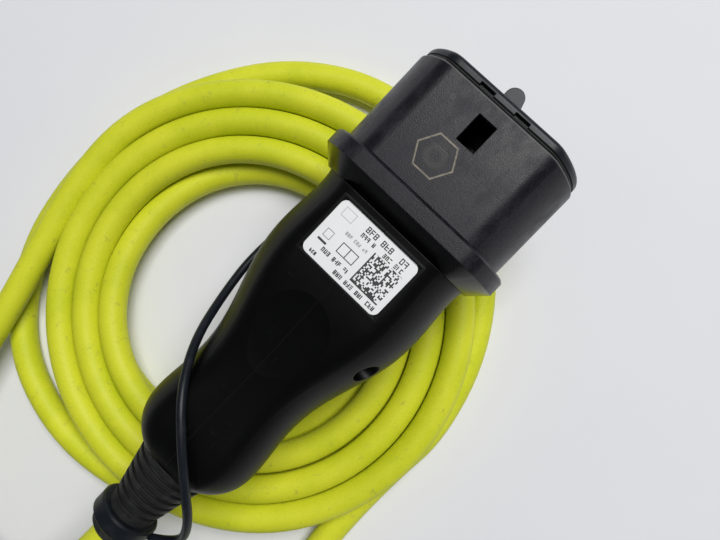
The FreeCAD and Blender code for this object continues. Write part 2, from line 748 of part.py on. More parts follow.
def make_relief(label, front, neck_to, radius, tip, taper, reach, at=V(0, 0, 0), turned=0.0):
    """A rubber bend relief: flange and neck inside the handle, then a grooved taper and a plain end."""
    bore = size("cable_radius")
    neck = size("relief_neck")
    flange = neck + size("relief_flange")
    flange_front = neck_to + size("relief_flange_thick")
    count = int(size("relief_rings"))
    wide, deep = size("relief_groove"), size("relief_groove_depth")
    pitch = taper / (count + 0.5)
    outline = [(flange_front, bore), (flange_front, flange), (neck_to, flange), (neck_to, neck)]
    outline += [(front, neck), (front, radius)]
    for k in range(count):
        near = (k + 0.6) * pitch
        for along, inward in ((near, 0.0), (near, deep), (near + wide, deep), (near + wide, 0.0)):
            fall = (radius - tip) * min(along / taper, 1.0)
            outline.append((front - along, radius - fall - inward))
    end, edge = front - reach, 1.0
    outline += [(front - taper, tip), (end + edge, tip), (end, tip - edge), (end, bore)]
    return turned_piece(label, outline, at, turned)


def make_cable_entry():
    """The bend relief, the jacket that runs through it, and the clamp that holds the jacket."""
    heel = -size("heel_place")
    make_relief(
        "bend_relief", heel, heel + size("heel_wall"), size("relief_radius"), size("relief_tip"),
        worth("relief_reach-relief_plain"), size("relief_reach"),
    )
    body = new_body("cable_jacket")
    sketch = new_sketch(body, "round", offset="-heel_place-relief_reach")
    draw_round(sketch, "cable_radius")
    pad(body, sketch, "relief_reach+jacket_reach")
    x = heel + size("heel_wall") + size("relief_flange_thick") + 0.6
    length, wide = size("clamp_length"), size("clamp_half_width")
    high = size("cable_radius") + size("clamp_height")
    jacket = rod("clamp_bore", "cable_radius", length + 2, V(x - 1, 0, 0), V(1, 0, 0))
    for label, low, top in (("clamp_base", -high, -0.3), ("clamp_cap", 0.3, high)):
        half = block(f"{label}_block", V(x, -wide, low), V(x + length, wide, top))
        groove = [jacket]
        for side in (-1, 1):
            y = side * (wide - 3.2)
            foot = V(x + length / 2, y, -2 * high)
            groove.append(rod(f"{label}_hole_{side + 1}", "screw_hole+fit_gap/4", 4 * high, foot, V(0, 0, 1)))
        keep(apart(label, half, joined(f"{label}_cuts", groove)), label)
    screws = []
    for side in (-1, 1):
        at = V(x + length / 2, side * (wide - 3.2), high)
        screws.append(screw(f"clamp_screw_{side + 1}", 2 * high - 1, at, V(0, 0, -1), "screw_head*0.8"))
    screw_group("clamp_screws", screws)


STRAIGHT = 0.002


def round_route(points, name):
    """Straight runs and tangent arcs along a list of points, with arcs as large as the runs allow."""
    edges = []
    radii = []
    start = points[0]
    for before, corner, after in zip(points, points[1:], points[2:]):
        into = corner - before
        out = after - corner
        half = into.getAngle(out) / 2
        if half < STRAIGHT:
            continue
        reach = 0.45 * min(into.Length, out.Length)
        radii.append(reach / math.tan(half))
        enter = corner - V(into).normalize() * reach
        leave = corner + V(out).normalize() * reach
        inward = (V(out).normalize() - V(into).normalize()).normalize()
        middle = corner + inward * (radii[-1] / math.cos(half) - radii[-1])
        edges.append(Part.LineSegment(start, enter).toShape())
        edges.append(Part.Arc(enter, middle, leave).toShape())
        start = leave
    edges.append(Part.LineSegment(start, points[-1]).toShape())
    wire = Part.Wire(edges)
    print(name, "length", round(wire.Length), "radii", [round(r) for r in radii])
    return wire


def tube(label, points, radius):
    """A round cord along a route."""
    wire = round_route(points, label)
    way = (points[1] - points[0]).normalize()
    ring = Part.Wire(Part.Circle(points[0], way, radius).toShape())
    shape = wire.makePipeShell([ring], True, False)
    expected = math.pi * radius * radius * wire.Length
    if abs(shape.Volume / expected - 1) > 0.01:
        raise ValueError(f"{label} has volume {shape.Volume}, not {expected}")
    return shape


def place_shape(label, shape):
    """A piece whose shape is worked out in code."""
    item = doc.addObject("Part::Feature", label)
    item.Shape = shape
    keep(item, label)


def make_cores():
    """The insulated cores from the cable's end to the contacts, and the resistor that codes the cable."""
    rim = -size("nose_reach") + size("nose_floor") - size("carrier_depth") - size("retainer_thick")
    barrel_end = rim - size("pin_tail")
    inside = barrel_end + size("barrel_depth") - 0.5
    start = -size("heel_place") + size("jacket_reach")
    solids = []
    turns = {"pin_l1": 0.0, "pin_n": 180.0, "pin_l2": 240.0, "pin_l3": 300.0, "pin_cp": 90.0}
    for name, y, z, radius, flange, setback in contact_places():
        if name == "pin_pp":
            continue
        angle = math.radians(turns.get(name, 0.0))
        r = 0.0 if name == "pin_pe" else size("core_circle")
        y0, z0 = r * math.cos(angle), r * math.sin(angle)
        thick = size("signal_core") if name == "pin_cp" else size("core_radius")
        route = [
            V(start, y0, z0),
            V(start + 14, y0 * 1.15, z0 * 1.1),
            V(-76 if z > 1 else -82, y0 * 1.5 + y * 0.2, z0 * 1.1 + min(z, 0) * 0.12),
            V(barrel_end - 7, y * 0.97, z * 0.95),
            V(barrel_end - 2.5, y, z),
            V(inside, y, z),
        ]
        solids.append(tube(f"core of {name}", route, thick))
    place_shape("cores", Part.makeCompound(solids))
    pp = next(entry for entry in contact_places() if entry[0] == "pin_pp")
    y, z, lead = pp[1], pp[2], size("lead_radius")
    drop = size("pin_radius") + lead
    back = barrel_end - 3
    turn_out, turn_in = V(back - 1, y * 0.6, z * 0.7), V(back, y * 0.25, drop + 1.4)
    route = [V(inside, y, z), V(back, y, z), turn_out, turn_in, V(barrel_end + 3, 0, drop)]
    legs = tube("resistor lead", route, lead)
    away = (turn_in - turn_out).normalize()
    middle = V(back - 0.8, y * 0.5, z * 0.56) - away * (size("resistor_length") / 2)
    bead = Part.makeCylinder(size("resistor_radius"), size("resistor_length"), middle, away)
    place_shape("coding_resistor", legs.fuse(bead))


def make_cap():
    """The end cap: a rounded flange on the rim, a plug in the nose, notches, pull tab and tether lug."""
    body = new_body("cap_form")
    seat = size("rim_ahead") + size("cap_seat_gap")
    flange = less(NOSE, "cap_inset")
    ring_pad(body, "flange", "rim_ahead+cap_seat_gap", "cap_thick", flange)
    front = seat + size("cap_thick")
    dress(body, "Fillet", edges_at(body, front, flange), "cap_edge")
    ring_pad(body, "plug", "rim_ahead-cap_plug", "cap_plug+cap_seat_gap", less(NOSE, "nose_wall-cap_gap"))
    top = size("nose_flat") - size("cap_inset")
    half, thick = size("tab_across") / 2, size("tab_thick")
    middle = front + size("tab_reach") - half
    tab_top = size("tab_height") + thick / 2
    tab = block("tab_plate", V(front - size("cap_edge"), -half, tab_top - thick), V(middle, half, tab_top))
    tip = rod("tab_end", "tab_across/2", thick, V(middle, 0, tab_top - thick), V(0, 0, 1))
    at = tether_route()[0]
    deep = size("cap_thick") - 0.6
    lug = rod("tether_lug", "tether_radius*2", deep, V(seat, at.y, at.z), V(1, 0, 0))
    inward = V(0, -at.y, -at.z).normalize()
    wide = size("tether_radius") * 3
    arm = block("tether_arm", V(0, 0, 0), V(deep, wide, size("tether_radius") * 5))
    arm.Placement = FreeCAD.Placement(V(seat, at.y, at.z), FreeCAD.Rotation(V(0, 0, 1), inward))
    arm.Placement.Base = arm.Placement.multVec(V(0, -wide / 2, 0))
    whole = joined("cap_whole", [body, tab, tip, lug, arm])
    hole_at = V(middle, -half - 1, tab_top - thick / 2)
    cuts = [rod("tab_hole", "tab_hole", 2 * half + 2, hole_at, V(0, 1, 0))]
    low, depth = seat - 0.1, size("cap_notch_depth")
    for side in (-1, 1):
        y = side * (size("cap_key") + size("cap_notch")) / 2
        a, b = y - size("cap_notch") / 2, y + size("cap_notch") / 2
        notch_end = V(seat + size("cap_notch_along"), b, top + 2)
        cuts.append(block(f"cap_notch_{side + 1}", V(low, a, top - depth), notch_end))
    keep(apart("end_cap", whole, joined("cap_cuts", cuts)), "end_cap")
    gasket = new_body("cap_gasket")
    outer, hole = less(NOSE, "nose_edge"), less(NOSE, "nose_wall")
    ring_pad(gasket, "ring", "rim_ahead+cap_seat_gap-cap_seat_gap*0.85", "cap_seat_gap*0.85", outer, hole)


# The routes of the tether and the cable are chosen by hand
TETHER_SIDE = [
    (-58.0, 30.5, -21.0),
    (-80.0, 31.5, -12.0),
    (-98.0, 28.5, -1.0),
    (-112.0, 22.5, 11.0),
    (-124.0, 12.5, 20.0),
    (-135.0, 1.0, 21.5),
]
LUG_WAY = V(0, 21.0, -28.6).normalize()
PASS_WAY = V(0, 26.5, -28.6).normalize()
STAND_OFF = 3.98


def tether_route():
    """The tether: from its lug along the nose, out past the collar, over the handle and down to its ring."""
    lug = LUG_WAY * (size("nose_radius") + STAND_OFF)
    passing = PASS_WAY * (worth(COLLAR[0]) + STAND_OFF)
    back = -size("nose_reach")
    ring = worth(RING_PLACE)
    route = [lug + V(size("rim_ahead") + 0.25, 0, 0), lug + V(back / 2 - 1.75, 0, 0)]
    route.append(passing + V(back - 5.5, 0, 0))
    route += [V(*place) for place in TETHER_SIDE]
    route += [V(ring + 25.0, -10.5, 17.5), V(ring + 15.0, -18.5, 9.5), V(ring + 6.0, -19.0, 1.5)]
    route.append(V(ring, -size("relief_tip") - size("ring_thick") - 0.4, -1.0))
    return route


RING_PLACE = "-heel_place-relief_reach+ring_setback"
LEAD_DOWN = [
    V(-178.0, 0.0, 0.0),
    V(-205.0, 0.0, 0.0),
    V(-231.0, 8.0, -5.0),
    V(-249.0, 27.0, -12.0),
    V(-253.0, 53.0, -21.0),
    V(-243.0, 78.0, -30.0),
    V(-220.0, 96.0, -37.0),
    V(-188.0, 105.5, -40.5),
    V(-153.0, 110.5, -40.8),
    V(-117.6, 113.2, -40.8),
]


def floor():
    """Height of the floor: the collar lies on the coil, which lies on the floor."""
    stack = size("coil_layers") * 2 * size("cable_radius")
    return -worth(COLLAR[0]) - size("rest_gap") - stack


def tail_route():
    """The cable from the coil's lower layer to the vehicle end, which lies with its collar on the floor."""
    low = floor() + size("cable_radius")
    axis = floor() + size("far_collar_radius")
    x, y = size("far_x"), size("far_y")
    way = math.radians(size("far_turn"))
    return [
        V(-110.7, -58.2, low),
        V(-143.0, -58.5, low),
        V(-176.0, -62.5, low + 1.5),
        V(-208.0, -70.0, low + 13.0),
        V(x - 32.0 * math.cos(way), y - 32.0 * math.sin(way) + 1.5, axis - 1.0),
        V(x, y, axis),
    ]


def make_tether():
    """The thin tether of the cap, and the ring that holds it on the bend relief."""
    place_shape("tether", tube("tether", tether_route(), size("tether_radius")))
    x, half = worth(RING_PLACE), size("ring_length") / 2
    bore = size("relief_tip")
    out = bore + size("ring_thick")
    outline = [
        (x - half, bore), (x - half, out - 0.6), (x - half + 0.6, out),
        (x + half - 0.6, out), (x + half, out - 0.6), (x + half, bore),
    ]
    turned_piece("tether_ring", outline)


def make_cable():
    """The cable: the bend behind the plug, the loose coil as one ring, and the run to the vehicle end."""
    radius = size("cable_radius")
    place_shape("cable_lead", tube("cable_lead", LEAD_DOWN, radius))
    place_shape("cable_tail", tube("cable_tail", tail_route(), radius))
    body = new_body("cable_coil")
    low, high = floor(), floor() + size("coil_layers") * 2 * radius
    inner, outer = size("coil_inside"), size("coil_outside")
    sketch = new_sketch(body, "section", "XZ_Plane")
    bulge = radius
    corners = [(inner, low + bulge), (inner, high - bulge), (outer, high - bulge), (outer, low + bulge)]
    points = [V(x, z, 0) for x, z in corners]
    sketch.addGeometry([
        Part.LineSegment(points[0], points[1]),
        Part.Arc(points[1], V(inner + bulge * 0.3, high - bulge * 0.3, 0), V(inner + bulge, high, 0)),
        Part.LineSegment(V(inner + bulge, high, 0), V(outer - bulge, high, 0)),
        Part.Arc(V(outer - bulge, high, 0), V(outer - bulge * 0.3, high - bulge * 0.3, 0), points[2]),
        Part.LineSegment(points[2], points[3]),
        Part.Arc(points[3], V(outer - bulge * 0.3, low + bulge * 0.3, 0), V(outer - bulge, low, 0)),
        Part.LineSegment(V(outer - bulge, low, 0), V(inner + bulge, low, 0)),
        Part.Arc(V(inner + bulge, low, 0), V(inner + bulge * 0.3, low + bulge * 0.3, 0), points[0]),
    ])
    turn(body, sketch, "V_Axis")
    lay(body, V(size("coil_x"), size("coil_y"), 0))


FAR_NOSE = ("far_nose_radius", "far_nose_flat", "far_nose_corner")
FAR_COLLAR = ("far_collar_radius", "far_collar_flat", "far_nose_corner")


def far_place():
    """Where the vehicle end's front rim lies, and the turn of that end about Z."""
    length = worth("far_nose_reach+far_collar_length+far_heel_place+far_relief_reach")
    way = math.radians(size("far_turn"))
    axis = floor() + size("far_collar_radius")
    return V(size("far_x") + length * math.cos(way), size("far_y") + length * math.sin(way), axis)


def far_outline(name, trim):
    """The outline of the vehicle end's handle at a named place."""
    radius = f"far_{name}_radius"
    flat = "far_heel_flat" if name == "heel" else f"{radius}-far_flat_drop"
    return (f"{radius}{trim}", f"{flat}{trim}", f"shell_corner{trim}")


def far_sections(trim):
    """The vehicle end's handle along its axis, without its back end."""
    back = "-far_nose_reach-far_collar_length"
    return [
        (back, *far_outline("root", trim)),
        (back + "-far_shoulder_place/2", *far_outline("root", trim)),
        (back + "-far_shoulder_place", *far_outline("root", trim)),
        (back + "-far_grip_place", *far_outline("grip", trim)),
        (back + "-far_grip_place/2-far_heel_place/2", *far_outline("grip", trim)),
    ]


def make_far_end():
    """The vehicle end: nose with its insert and socket contacts, collar, two half shells and relief."""
    at, turned = far_place(), size("far_turn")
    nose = new_body("far_nose")
    start, length = "-far_nose_reach-far_collar_length", "far_nose_reach+far_collar_length"
    ring_pad(nose, "tube", start, length, FAR_NOSE, less(FAR_NOSE, "far_nose_wall"))
    dress(nose, "Chamfer", edges_at(nose, 0.0, FAR_NOSE), "nose_edge")
    lay(nose, at, turned)
    collar = new_body("far_collar")
    hole = tuple(f"{text}+fit_gap" for text in FAR_NOSE)
    ring_pad(collar, "ring", start, "far_collar_length", FAR_COLLAR, hole)
    back = -size("far_nose_reach") - size("far_collar_length")
    dress(collar, "Chamfer", edges_at(collar, back, FAR_COLLAR), "collar_edge*2")
    lay(collar, at, turned)
    insert = new_body("far_insert")
    inner = less(FAR_NOSE, "far_nose_wall-fit_gap")
    ring_pad(insert, "block", "-far_nose_reach", "far_nose_reach-far_insert_setback", inner)
    holes = new_sketch(insert, "holes", offset="-far_nose_reach")
    sockets = []
    for name, y, z, radius, flange, setback in contact_places():
        bore = "far_signal_socket" if radius == "signal_radius" else "far_socket_radius"
        draw_round_at(holes, f"{bore}+far_socket_wall+far_post_gap", y, z)
        start = -size("far_nose_reach") - 8
        length = size("far_nose_reach") - size("far_insert_setback") - 2 + 8
        outer = rod(f"socket_{name}", f"{bore}+far_socket_wall", length, V(start, y, z), V(1, 0, 0))
        inner = rod(f"socket_bore_{name}", bore, 24, V(start + length - 23, y, z), V(1, 0, 0))
        sockets.append(apart(f"socket_{name}_solid", outer, inner))
    cut(insert, holes, "far_nose_reach*2")
    lay(insert, at, turned)
    group = doc.addObject("Part::Compound", "far_contacts")
    group.Links = sockets
    keep(group, "far_contacts")
    group.Placement = FreeCAD.Placement(at, FreeCAD.Rotation(V(0, 0, 1), turned))
    form = new_body("far_form")
    heel = "-far_nose_reach-far_collar_length-far_heel_place"
    loft(form, "outside", far_sections("") + [(heel, *far_outline("heel", ""))])
    hollow = new_body("far_hollow")
    end = (heel + "+heel_wall", *far_outline("heel", "-shell_wall/2"))
    loft(hollow, "inside", far_sections("-shell_wall") + [end])
    wall = apart("far_wall", form, hollow)
    heel_x = worth(heel)
    deep = size("heel_wall") + 4
    bore = rod("far_heel_bore", "relief_neck+fit_gap", deep, V(heel_x - 1, 0, 0), V(1, 0, 0))
    finished = apart("far_finished", wall, bore)
    out = size("far_root_radius") + 5
    for label, low, high in (("far_left_shell", 0.0, out), ("far_right_shell", -out, 0.0)):
        side = block(f"{label}_side", V(heel_x - 5, low, -out), V(0, high, out))
        piece = keep(shared(label, finished, side), label)
        piece.Placement = FreeCAD.Placement(at, FreeCAD.Rotation(V(0, 0, 1), turned))
    make_relief(
        "far_relief", heel_x, heel_x + size("heel_wall"), size("far_relief_radius"), size("relief_tip"),
        worth("far_relief_reach-far_relief_plain"), size("far_relief_reach"), at, turned,
    )


def finish():
    """Checks every piece and writes it."""
    doc.recompute()
    for item in doc.Objects:
        if "Invalid" in item.State or "Error" in item.State:
            raise ValueError(f"{item.Name} is {item.State}")
    os.makedirs("parts", exist_ok=True)
    forms = ("handle_form", "handle_hollow", "cap_form", "far_form", "far_hollow")
    for item in doc.Objects:
        whole = item.TypeId == "PartDesign::Body" and item.Label not in forms
        if whole or item.Label in PIECES:
            if item.Shape.isNull() or not item.Shape.isValid():
                raise ValueError(f"{item.Label} is not a valid shape")
            item.Shape.exportStep(f"parts/{item.Label}.step")
            print(item.Label, len(item.Shape.Solids), round(item.Shape.Volume))


PIECES = []
make_nose_shell()
make_collar()
make_contact_carrier()
make_retainer()
make_pins()
make_handle()
make_label()
make_screws()
make_cable_entry()
make_cores()
make_cap()
make_tether()
make_cable()
make_far_end()
finish()
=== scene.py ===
# %% [markdown]
# # The plug of a charging cable, lying on its own loose coil
# The shapes of the plug come from the CAD frame. This lesson gives them their finishes and adds
# what CAD says only roughly: the bright cable in its coil and the thin tether of the end cap.
# Everything is in metres, in the frame's own axes, so nothing has to be fitted to anything.

import json
import math

import bpy
from mathutils import Matrix, Vector


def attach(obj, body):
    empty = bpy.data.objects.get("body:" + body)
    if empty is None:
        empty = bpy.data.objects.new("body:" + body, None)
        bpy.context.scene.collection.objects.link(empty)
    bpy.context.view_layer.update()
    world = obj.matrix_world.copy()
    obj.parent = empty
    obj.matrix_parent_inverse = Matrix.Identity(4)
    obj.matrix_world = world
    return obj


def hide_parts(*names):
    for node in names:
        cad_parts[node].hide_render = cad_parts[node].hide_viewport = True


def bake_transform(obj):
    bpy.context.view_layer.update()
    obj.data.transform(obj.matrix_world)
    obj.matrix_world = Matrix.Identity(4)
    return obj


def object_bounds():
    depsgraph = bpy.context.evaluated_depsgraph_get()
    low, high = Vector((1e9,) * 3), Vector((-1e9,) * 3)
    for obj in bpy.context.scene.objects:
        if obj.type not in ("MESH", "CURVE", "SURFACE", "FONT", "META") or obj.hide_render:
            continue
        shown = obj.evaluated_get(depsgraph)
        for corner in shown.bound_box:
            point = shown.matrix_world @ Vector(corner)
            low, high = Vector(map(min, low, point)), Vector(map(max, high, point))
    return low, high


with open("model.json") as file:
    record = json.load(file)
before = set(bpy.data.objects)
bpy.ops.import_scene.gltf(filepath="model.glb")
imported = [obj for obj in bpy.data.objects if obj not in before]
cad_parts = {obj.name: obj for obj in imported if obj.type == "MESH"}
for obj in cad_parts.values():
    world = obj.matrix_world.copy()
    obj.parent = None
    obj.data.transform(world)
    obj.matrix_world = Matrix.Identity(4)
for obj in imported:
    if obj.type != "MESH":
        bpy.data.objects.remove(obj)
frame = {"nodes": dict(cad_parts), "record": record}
cad_low, cad_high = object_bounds()
MM = 0.001
nodes = frame["nodes"]
print("CAD pieces:", len(nodes), "box", [round(v, 3) for v in (*cad_low, *cad_high)])

# %% [markdown]
# ## Camera
# The picture looks almost straight down on the plug from some twenty centimetres. The camera
# was solved from known points of the plug: corners of the lock window, label and collar. A
# camera can be placed by angles or by its own axes. Axes are easier to check: the first two
# columns of its matrix point to the right and to the top of the picture, the third points back
# to the eye. Each new object has to be linked to the scene before it shows, so a small helper
# does both.

# %% Place the camera
EYE = Vector((-44.0, -20.82, 195.2)) * MM
PICTURE_RIGHT = Vector((0.6892, -0.7135, -0.1263)).normalized()
BACK = Vector((0.0731, -0.105, 0.9918)).normalized()
PICTURE_UP = BACK.cross(PICTURE_RIGHT).normalized()
SENSOR = 36.0
FOCAL = 617 / 720 * SENSOR


def add(name, data):
    """A new object in the scene that shows this data."""
    made = bpy.data.objects.new(name, data)
    bpy.context.scene.collection.objects.link(made)
    return made


lens = bpy.data.cameras.new("photo_camera")
lens.sensor_fit = "HORIZONTAL"
lens.sensor_width = SENSOR
lens.lens = FOCAL
lens.clip_start = 0.01
camera = add("photo_camera", lens)
columns = [PICTURE_RIGHT, PICTURE_UP, BACK]
camera.matrix_world = Matrix(
    [[*(column[row] for column in columns), EYE[row]] for row in range(3)] + [[0, 0, 0, 1]]
)
bpy.context.scene.camera = camera
print("camera", round(FOCAL, 2), "mm at", tuple(EYE))

# %% [markdown]
# ## Smooth lines for flexible things
# A cable or a tether is stiff enough to lie in wide, even curves. A NURBS line of order 3
# rounds off the points it is given, which is how such a thing bends: few points, no kinks. The
# order is set after the points are added, because Blender lowers it while the line has fewer
# points than that.


# %% Make a smooth round line
def smooth_line(name, points, radius, steps, sides):
    """A curve object led by points in millimetres, as a round bar of that radius."""
    data = bpy.data.curves.new(name, "CURVE")
    data.dimensions = "3D"
    spline = data.splines.new("NURBS")
    spline.points.add(len(points) - 1)
    for point, place in zip(spline.points, points):
        point.co = (*(Vector(place) * MM), 1)
    spline.order_u = 3
    spline.use_endpoint_u = True
    spline.resolution_u = steps
    data.bevel_depth = radius * MM
    data.bevel_resolution = sides
    data.use_fill_caps = True
    return add(name, data)


def follow(line):
    """The points that a smooth line really passes through, in metres."""
    thickness = line.data.bevel_depth
    line.data.bevel_depth = 0
    bare = bpy.data.meshes.new_from_object(line)
    line.data.bevel_depth = thickness
    places = [vertex.co.copy() for vertex in bare.vertices]
    bpy.data.meshes.remove(bare)
    return places


def run_length(places):
    """The length along a row of points."""
    return sum((b - a).length for a, b in zip(places, places[1:]))


def solid(line, name):
    """The smooth line as a mesh piece; the line itself goes."""
    piece = add(name, bpy.data.meshes.new_from_object(line))
    bpy.data.objects.remove(line)
    for face in piece.data.polygons:
        face.use_smooth = True
    return piece


metre = [Vector((0, 0, 0)), Vector((0.4, 0, 0)), Vector((0.4, 0.6, 0))]
print("a bent metre measures", round(run_length(metre), 3), "m")

# %% [markdown]
# ## The charging cable
# An 11 mm cable with a jacket of lime yellow polyurethane leaves the plug's bend relief, loops
# down and lies in six and a half loose turns under the plug. It ends in the connector that goes
# into the car. The turns could be a plain spiral, but hand-wound cable never lies so neatly.
# Each number below is the radius of an eighth of a turn. Where the picture shows a strand, the
# radius is meant to follow it, and what is hidden is guessed: the picture shows about five
# strands on one side and three on the other, so the number of turns is a guess as well.

# %% Lay out the cable's route
CABLE_RADIUS = 5.5
LEAD_DOWN = [
    (-178, 0, 0),
    (-205, 0, 0),
    (-231, 8, -5),
    (-249, 27, -12),
    (-250, 51, -21),
    (-238, 74, -30),
    (-213, 91, -37),
    (-181, 97.5, -40.3),
    (-149, 105.5, -40.8),
    (-117.6, 113.2, -40.8),
]
TAIL_OUT = [
    (-110.7, -58.2, -51.8),
    (-143, -58.5, -51.8),
    (-176, -62.5, -50.3),
    (-208, -70, -38.8),
    (-239.1, -77.3, -27.3),
    (-271, -81, -26.3),
]
COIL_MIDDLE = (-103.0, 30.5)
COIL_START = 100.0
TOP_LAYER, LOW_LAYER = -40.8, -51.8
DROP_FROM, DROP_TO = 2.85, 3.2
TURN_RADII = [
    [85.0, 82.3, 82.0, 85.5, 87.3, 86.0, 82.0, 77.0],
    [73.0, 71.0, 70.7, 74.0, 76.0, 74.8, 70.5, 65.5],
    [61.6, 59.8, 59.5, 62.5, 64.5, 63.0, 58.5, 54.3],
    [51.4, 52.5, 54.0, 55.0, 55.5, 57.0, 60.0, 62.5],
    [64.5, 65.5, 66.0, 66.5, 66.8, 68.5, 71.2, 74.0],
    [76.5, 77.2, 77.5, 77.8, 78.2, 81.5, 92.0, 102.5],
    [90.0, 88.7, 99.5, 96.0, 90.2],
]
PER_TURN = 16


def coil_points():
    """The coil's points, sixteen a turn: at each eighth of a turn and halfway to the next."""
    eighths = [radius for turn in TURN_RADII for radius in turn]
    radii = []
    for k, radius in enumerate(eighths[:-1]):
        before, after = eighths[max(k - 1, 0)], eighths[min(k + 2, len(eighths) - 1)]
        radii += [radius, (9 * (radius + eighths[k + 1]) - before - after) / 16]
    radii.append(eighths[-1])
    places = []
    for k, radius in enumerate(radii):
        turn = k / PER_TURN
        angle = math.radians(COIL_START - 360 * turn)
        reach = radius / math.cos(math.pi / PER_TURN)
        fall = min(max((turn - DROP_FROM) / (DROP_TO - DROP_FROM), 0), 1)
        height = TOP_LAYER + (LOW_LAYER - TOP_LAYER) * fall * fall * (3 - 2 * fall)
        x = COIL_MIDDLE[0] + reach * math.cos(angle)
        y = COIL_MIDDLE[1] + reach * math.sin(angle)
        places.append((x, y, height))
    return places


cable_route = LEAD_DOWN + coil_points()[1:] + TAIL_OUT
cable_line = smooth_line("cable_line", cable_route, CABLE_RADIUS, steps=7, sides=6)
cable_path = follow(cable_line)
cable = solid(cable_line, "charging_cable")
print("cable points", len(cable_route), "length", round(run_length(cable_path), 3), "m")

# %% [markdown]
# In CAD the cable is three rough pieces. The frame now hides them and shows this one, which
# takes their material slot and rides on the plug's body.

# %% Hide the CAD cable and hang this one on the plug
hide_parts("cable_lead", "cable_coil", "cable_tail")
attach(cable, "plug")

# %% [markdown]
# ## The cap's tether
# A thin rubber cord keeps the end cap with the plug. It hangs beside the handle and ends in a
# ring on the bend relief. When the cap is pulled off, one end of it moves and the other stays;
# here the tether is one fixed piece, and the CAD tether is hidden.

# %% Make the tether
TETHER_RADIUS = 1.5
TETHER_ROUTE = [
    (2.65, 21, -28.6),
    (-17, 21, -28.6),
    (-36, 26.5, -28.6),
    (-59, 31, -21),
    (-81.5, 32, -13.5),
    (-98, 27.5, -3.5),
    (-110, 21, 10),
    (-120.5, 11, 19.6),
    (-130.5, 0, 21),
    (-140, -9.5, 19),
    (-151, -18, 12),
    (-163, -19.5, 2.5),
    (-171, -11.2, -1),
]
tether_line = smooth_line("tether_line", TETHER_ROUTE, TETHER_RADIUS, steps=12, sides=4)
tether_path = follow(tether_line)
tether = solid(tether_line, "cap_tether")
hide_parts("tether")
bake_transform(tether)

# %% [markdown]
# ## Sums on shader sockets
# Patterns such as a print or a seam are sums on a surface's coordinates. Wired by hand they
# become a web of Math nodes that nobody can read. Here a socket is wrapped in a small class,
# and the usual signs add the nodes: 1 - mask, or abs(x - 3) < 0.2. Reflected signs are there so
# that a number may come first.


# %% Write sums on sockets
class Wire:
    """A socket that can stand in a sum."""

    def __init__(self, finish, socket):
        self.finish = finish
        self.socket = socket

    def sum(self, operation, *values):
        return self.finish.node("ShaderNodeMath", {"operation": operation}, values)

    def __add__(self, other):
        return self.sum("ADD", self, other)

    def __radd__(self, other):
        return self.sum("ADD", other, self)

    def __sub__(self, other):
        return self.sum("SUBTRACT", self, other)

    def __rsub__(self, other):
        return self.sum("SUBTRACT", other, self)

    def __mul__(self, other):
        return self.sum("MULTIPLY", self, other)

    def __rmul__(self, other):
        return self.sum("MULTIPLY", other, self)

    def __truediv__(self, other):
        return self.sum("DIVIDE", self, other)

    def __lt__(self, other):
        return self.sum("LESS_THAN", self, other)

    def __gt__(self, other):
        return self.sum("GREATER_THAN", self, other)

    def __abs__(self):
        return self.sum("ABSOLUTE", self)

    def __floor__(self):
        return self.sum("FLOOR", self)

    def higher(self, other):
        return self.sum("MAXIMUM", self, other)

    def root(self):
        return self.sum("SQRT", self)

    def rise(self, low, high):
        """0 below low, 1 above high and a smooth step between them."""
        settings = {"interpolation_type": "SMOOTHSTEP"}
        return self.finish.node("ShaderNodeMapRange", settings, [self, low, high, 0.0, 1.0])


print("sums on sockets take + - * / < > abs and floor")

# %% [markdown]
# ## A finish
# Each finish is one Principled material. What is the same all over is set on its sockets, and
# what changes is fed to colour, roughness or normal only. One method makes every other kind of
# node. Coordinates are the piece's own, turned to millimetres, so a grain has the size of the
# real grain.


